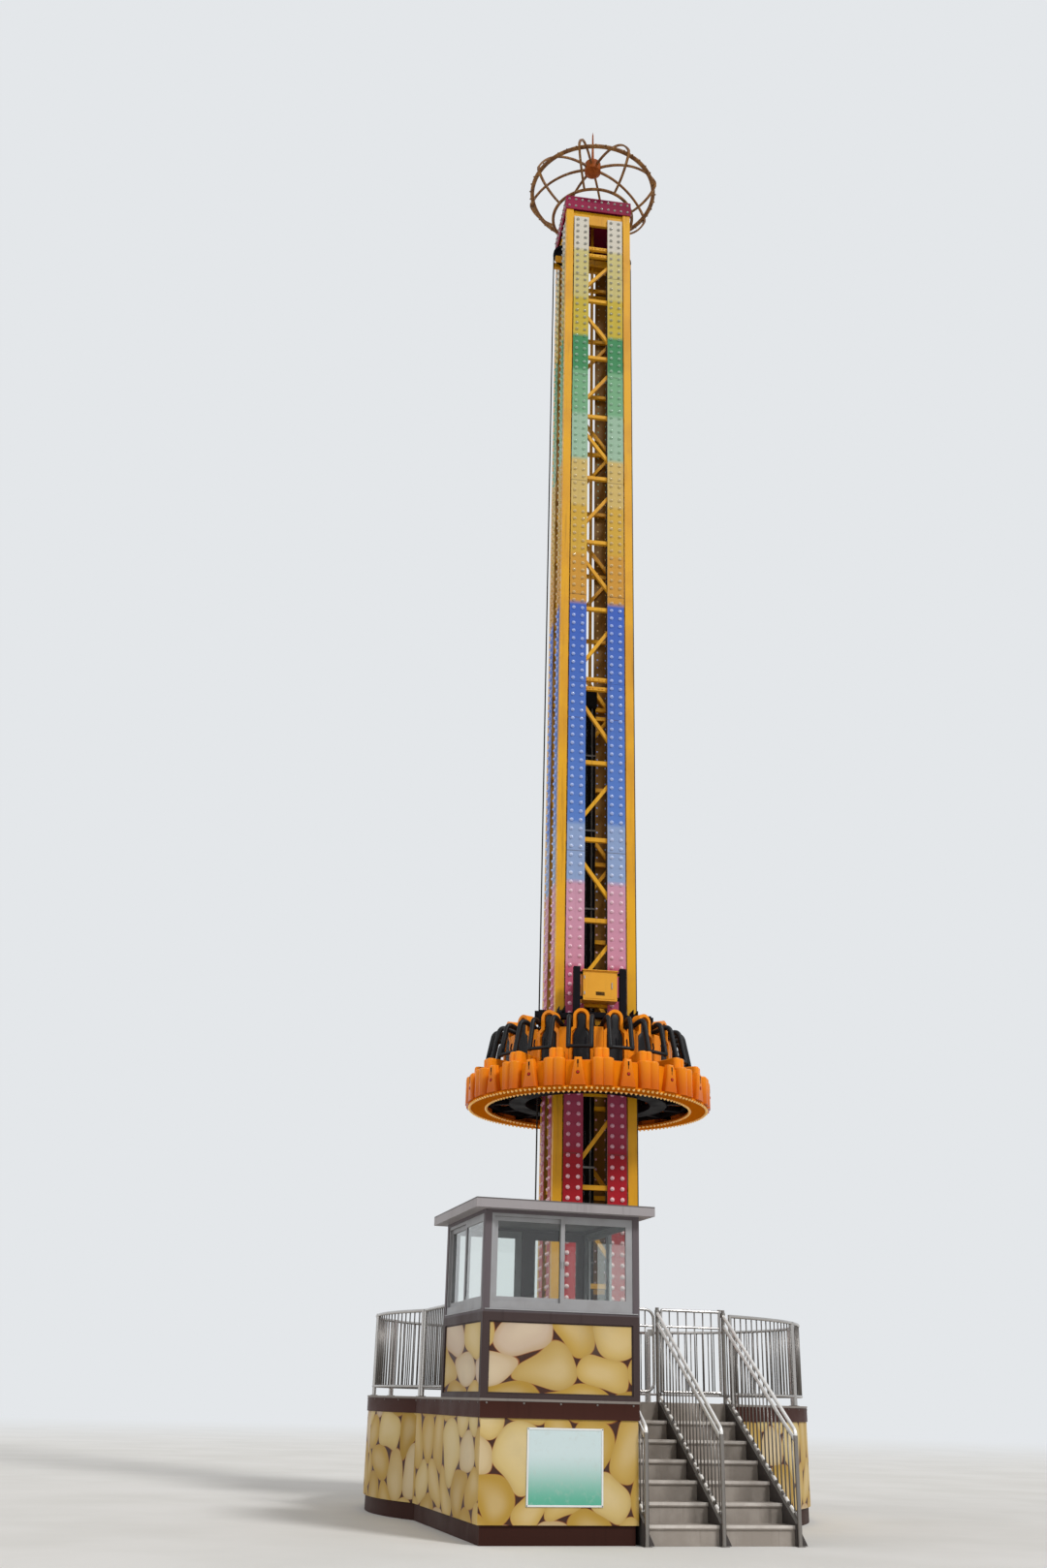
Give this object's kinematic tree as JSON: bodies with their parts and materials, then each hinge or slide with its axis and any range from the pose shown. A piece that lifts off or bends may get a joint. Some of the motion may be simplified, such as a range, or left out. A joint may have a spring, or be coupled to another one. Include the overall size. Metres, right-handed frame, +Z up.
{
  "type": "rotating tower ride",
  "caption": "Fairground tower ride: lattice mast with lamp strips and a crown, a lifting and turning ring of seats, and a round platform with booth, stairs and gates.",
  "frame": {"origin": "middle of the mast's base plate, on the ground", "axes": "+Z up along the mast, -Y towards the booth and the stairs, +X to the right of someone facing the stairs"},
  "size_m": [6.34, 8.17, 26.6],
  "materials": {
    "mast_paint": "yellow gloss enamel on steel",
    "strip_paint": "banded enamel trays with lamps",
    "band_paint": "crimson enamel",
    "crown_paint": "weathered bronze-brown paint",
    "hub_paint": "rust-orange paint",
    "dark_steel": "black machine enamel, greasy",
    "rope_steel": "wire rope",
    "concrete_steel": "grey primer",
    "rim_paint": "dark brown enamel",
    "cladding": "printed cladding sheet, rounded stones",
    "deck_plate": "grey chequer plate",
    "stair_steel": "folded steel, worn grey paint",
    "stringer_paint": "dark grey enamel",
    "stainless": "polished stainless tube",
    "booth_paint": "brown-grey enamel",
    "aluminium_frame": "mill-finish window section",
    "window_glass": "clear float glass",
    "roof_sheet": "grey coated sheet",
    "seat_plastic": "orange gel-coated moulding",
    "pad_vinyl": "black vinyl cushion",
    "restraint_foam": "black moulded foam over steel",
    "cabinet_paint": "yellow enamel",
    "roller_rubber": "polyurethane guide wheel"
  },
  "bodies": {
    "tower": {"mast_base": "concrete_steel", "mast_columns": "mast_paint", "mast_lattice_front": "mast_paint", "mast_lattice_back": "mast_paint", "mast_lattice_left": "mast_paint", "mast_lattice_right": "mast_paint", "light_strips": "strip_paint", "mast_head": "mast_paint", "crown_band": "band_paint", "rope_sheaves": "dark_steel", "hoist_ropes": "rope_steel", "crown_rings": "crown_paint", "crown_ribs": "crown_paint", "crown_hub": "hub_paint", "deck_floor": "deck_plate", "deck_rim": "rim_paint", "round_wall": "cladding", "block_walls": "cladding", "plinth": "rim_paint", "deck_joists": "concrete_steel", "stair_treads": "stair_steel", "stair_stringers": "stringer_paint", "stair_rails": "stainless", "fence_left": "stainless", "fence_round": "stainless", "booth_walls": "cladding", "booth_frame": "booth_paint", "booth_windows": "aluminium_frame", "booth_glass": "window_glass", "booth_roof": "roof_sheet", "booth_door": "booth_paint"},
    "gate_left": {"gate_left": "stainless"},
    "gate_right": {"gate_right": "stainless"},
    "carriage": {"carriage_frame": "dark_steel", "carriage_uprights": "dark_steel", "guide_rollers": "roller_rubber", "control_cabinet": "cabinet_paint"},
    "seat_ring": {"ring_frame": "dark_steel", "skirt": "seat_plastic", "seat_pans": "seat_plastic", "seat_backs": "seat_plastic", "arm_fairings": "seat_plastic", "pommels": "seat_plastic", "seat_pads": "pad_vinyl"},
    "restraint_01": {"restraint_01": "restraint_foam"},
    "restraint_02": {"restraint_02": "restraint_foam"},
    "restraint_03": {"restraint_03": "restraint_foam"},
    "restraint_04": {"restraint_04": "restraint_foam"},
    "restraint_05": {"restraint_05": "restraint_foam"},
    "restraint_06": {"restraint_06": "restraint_foam"},
    "restraint_07": {"restraint_07": "restraint_foam"},
    "restraint_08": {"restraint_08": "restraint_foam"},
    "restraint_09": {"restraint_09": "restraint_foam"},
    "restraint_10": {"restraint_10": "restraint_foam"},
    "restraint_11": {"restraint_11": "restraint_foam"},
    "restraint_12": {"restraint_12": "restraint_foam"},
    "restraint_13": {"restraint_13": "restraint_foam"},
    "restraint_14": {"restraint_14": "restraint_foam"},
    "restraint_15": {"restraint_15": "restraint_foam"},
    "restraint_16": {"restraint_16": "restraint_foam"}
  },
  "joints": [
    {"name": "lift", "type": "slide", "parent": "tower", "child": "carriage", "axis": [0, 0, 1], "range_m": [-4.07, 15.2]},
    {"name": "ring_turn", "type": "hinge", "parent": "carriage", "child": "seat_ring", "pos_m": [0, 0, 5.75], "axis": [0, 0, 1], "continuous": true},
    {"name": "gate_left_swing", "type": "hinge", "parent": "tower", "child": "gate_left", "pos_m": [-0.852, -2.925, 1.46], "axis": [0, 0, 1], "range_deg": [0, 90]},
    {"name": "gate_right_swing", "type": "hinge", "parent": "tower", "child": "gate_right", "pos_m": [0.882, -2.925, 1.46], "axis": [0, 0, -1], "range_deg": [0, 90]},
    {"name": "restraint_01_lift", "type": "hinge", "parent": "seat_ring", "child": "restraint_01", "pos_m": [1.15, 0, 6.72], "axis": [0, -1, 0], "range_deg": [0, 70]},
    {"name": "restraint_02_lift", "type": "hinge", "parent": "seat_ring", "child": "restraint_02", "pos_m": [1.06246, 0.44009, 6.72], "axis": [0.3827, -0.9239, 0], "range_deg": [0, 70]},
    {"name": "restraint_03_lift", "type": "hinge", "parent": "seat_ring", "child": "restraint_03", "pos_m": [0.81317, 0.81317, 6.72], "axis": [0.7071, -0.7071, 0], "range_deg": [0, 70]},
    {"name": "restraint_04_lift", "type": "hinge", "parent": "seat_ring", "child": "restraint_04", "pos_m": [0.44009, 1.06246, 6.72], "axis": [0.9239, -0.3827, 0], "range_deg": [0, 70]},
    {"name": "restraint_05_lift", "type": "hinge", "parent": "seat_ring", "child": "restraint_05", "pos_m": [0, 1.15, 6.72], "axis": [1, 0, 0], "range_deg": [0, 70]},
    {"name": "restraint_06_lift", "type": "hinge", "parent": "seat_ring", "child": "restraint_06", "pos_m": [-0.44009, 1.06246, 6.72], "axis": [0.9239, 0.3827, 0], "range_deg": [0, 70]},
    {"name": "restraint_07_lift", "type": "hinge", "parent": "seat_ring", "child": "restraint_07", "pos_m": [-0.81317, 0.81317, 6.72], "axis": [0.7071, 0.7071, 0], "range_deg": [0, 70]},
    {"name": "restraint_08_lift", "type": "hinge", "parent": "seat_ring", "child": "restraint_08", "pos_m": [-1.06246, 0.44009, 6.72], "axis": [0.3827, 0.9239, 0], "range_deg": [0, 70]},
    {"name": "restraint_09_lift", "type": "hinge", "parent": "seat_ring", "child": "restraint_09", "pos_m": [-1.15, 0, 6.72], "axis": [0, 1, 0], "range_deg": [0, 70]},
    {"name": "restraint_10_lift", "type": "hinge", "parent": "seat_ring", "child": "restraint_10", "pos_m": [-1.06246, -0.44009, 6.72], "axis": [-0.3827, 0.9239, 0], "range_deg": [0, 70]},
    {"name": "restraint_11_lift", "type": "hinge", "parent": "seat_ring", "child": "restraint_11", "pos_m": [-0.81317, -0.81317, 6.72], "axis": [-0.7071, 0.7071, 0], "range_deg": [0, 70]},
    {"name": "restraint_12_lift", "type": "hinge", "parent": "seat_ring", "child": "restraint_12", "pos_m": [-0.44009, -1.06246, 6.72], "axis": [-0.9239, 0.3827, 0], "range_deg": [0, 70]},
    {"name": "restraint_13_lift", "type": "hinge", "parent": "seat_ring", "child": "restraint_13", "pos_m": [0, -1.15, 6.72], "axis": [-1, 0, 0], "range_deg": [0, 70]},
    {"name": "restraint_14_lift", "type": "hinge", "parent": "seat_ring", "child": "restraint_14", "pos_m": [0.44009, -1.06246, 6.72], "axis": [-0.9239, -0.3827, 0], "range_deg": [0, 70]},
    {"name": "restraint_15_lift", "type": "hinge", "parent": "seat_ring", "child": "restraint_15", "pos_m": [0.81317, -0.81317, 6.72], "axis": [-0.7071, -0.7071, 0], "range_deg": [0, 70]},
    {"name": "restraint_16_lift", "type": "hinge", "parent": "seat_ring", "child": "restraint_16", "pos_m": [1.06246, -0.44009, 6.72], "axis": [-0.3827, -0.9239, 0], "range_deg": [0, 70]}
  ]
}
